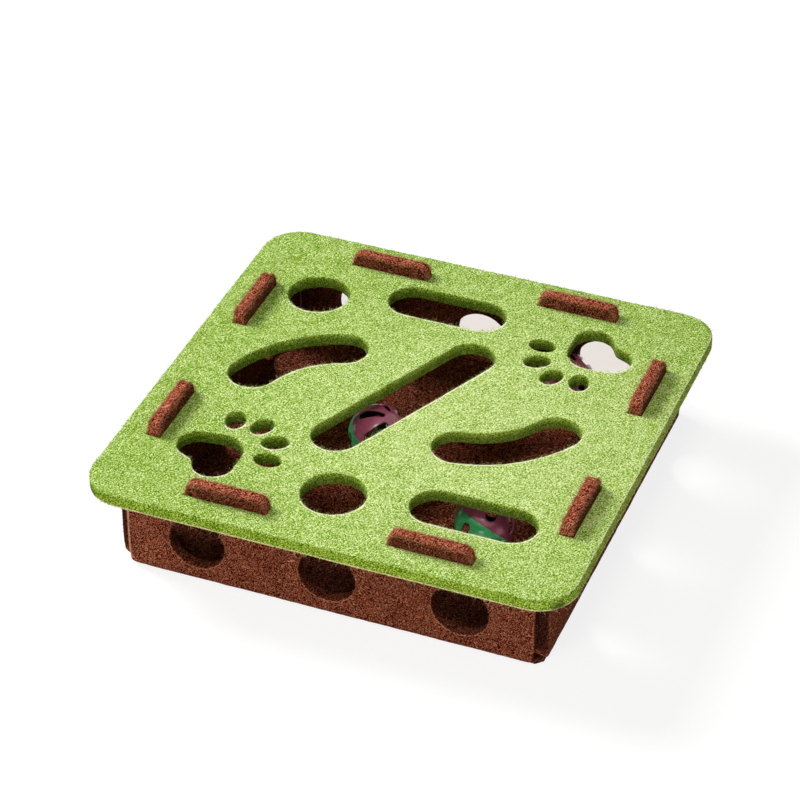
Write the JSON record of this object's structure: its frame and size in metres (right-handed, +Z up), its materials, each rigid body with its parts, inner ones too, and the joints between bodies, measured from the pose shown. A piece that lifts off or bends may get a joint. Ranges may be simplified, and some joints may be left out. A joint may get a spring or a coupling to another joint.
{
  "type": "pet puzzle toy",
  "caption": "Square felt puzzle box for cats: a holed green lid held on tabs over a folded brown base, with slotted bell balls that roll inside.",
  "frame": {"origin": "on the ground under the centre of the lid", "axes": "+X to the right and -Y to the front as the picture shows it, +Z up"},
  "size_m": [0.33, 0.33, 0.0775],
  "materials": {
    "green_felt": "heathered needle felt",
    "brown_felt": "heathered needle felt",
    "mauve_plastic": "moulded, glossy",
    "green_plastic": "moulded, glossy",
    "bell_metal": "nickel plated",
    "pellet_steel": "plain steel"
  },
  "bodies": {
    "base": {"floor_panel": "brown_felt", "front_wall": "brown_felt", "right_wall": "brown_felt", "back_wall": "brown_felt", "left_wall": "brown_felt"},
    "lid": {"lid_panel": "green_felt"},
    "centre_ball_shell": {"centre_ball_mauve_half": "mauve_plastic", "centre_ball_green_half": "green_plastic"},
    "centre_ball_bell": {"centre_ball_bell_top": "bell_metal", "centre_ball_bell_bottom": "bell_metal"},
    "centre_ball_pellet": {"centre_ball_bell_pellet": "pellet_steel"},
    "front_ball_shell": {"front_ball_mauve_half": "mauve_plastic", "front_ball_green_half": "green_plastic"},
    "front_ball_bell": {"front_ball_bell_top": "bell_metal", "front_ball_bell_bottom": "bell_metal"},
    "front_ball_pellet": {"front_ball_bell_pellet": "pellet_steel"},
    "back_ball_shell": {"back_ball_mauve_half": "mauve_plastic", "back_ball_green_half": "green_plastic"},
    "back_ball_bell": {"back_ball_bell_top": "bell_metal", "back_ball_bell_bottom": "bell_metal"},
    "back_ball_pellet": {"back_ball_bell_pellet": "pellet_steel"}
  },
  "joints": [
    {"name": "lid_lift", "type": "slide", "parent": "base", "child": "lid", "axis": [0, 0, 1], "range_m": [0, 0.12]},
    {"name": "centre_ball_roll", "type": "slide", "parent": "base", "child": "centre_ball_bell", "axis": [1, 0, 0], "range_m": [-0.0905, 0.1435]},
    {"name": "centre_ball_turn", "type": "hinge", "parent": "centre_ball_bell", "child": "centre_ball_shell", "pos_m": [-0.0265, 0.00846, 0.0293], "axis": [0, 1, 0], "range_deg": [-261.3, 413.1]},
    {"name": "centre_ball_rattle", "type": "hinge", "parent": "centre_ball_bell", "child": "centre_ball_pellet", "pos_m": [-0.0265, 0.00846, 0.0177], "axis": [0, 1, 0], "range_deg": [-40, 40]},
    {"name": "front_ball_roll", "type": "slide", "parent": "base", "child": "front_ball_bell", "axis": [1, 0, 0], "range_m": [-0.19106, 0.04294]},
    {"name": "front_ball_turn", "type": "hinge", "parent": "front_ball_bell", "child": "front_ball_shell", "pos_m": [0.07406, -0.05745, 0.0293], "axis": [0, 1, 0], "range_deg": [-549.3, 125]},
    {"name": "front_ball_rattle", "type": "hinge", "parent": "front_ball_bell", "child": "front_ball_pellet", "pos_m": [0.07406, -0.05745, 0.0177], "axis": [0, 1, 0], "range_deg": [-40, 40]},
    {"name": "back_ball_roll", "type": "slide", "parent": "base", "child": "back_ball_bell", "axis": [1, 0, 0], "range_m": [-0.18837, 0.04563]},
    {"name": "back_ball_turn", "type": "hinge", "parent": "back_ball_bell", "child": "back_ball_shell", "pos_m": [0.07137, 0.11185, 0.0293], "axis": [0, 1, 0], "range_deg": [-541.6, 132.7]},
    {"name": "back_ball_rattle", "type": "hinge", "parent": "back_ball_bell", "child": "back_ball_pellet", "pos_m": [0.07137, 0.11185, 0.0177], "axis": [0, 1, 0], "range_deg": [-40, 40]}
  ],
  "couplings": [
    {"joint": "centre_ball_turn", "follows": "centre_ball_roll", "rad_per_m": 50},
    {"joint": "front_ball_turn", "follows": "front_ball_roll", "rad_per_m": 50},
    {"joint": "back_ball_turn", "follows": "back_ball_roll", "rad_per_m": 50}
  ]
}
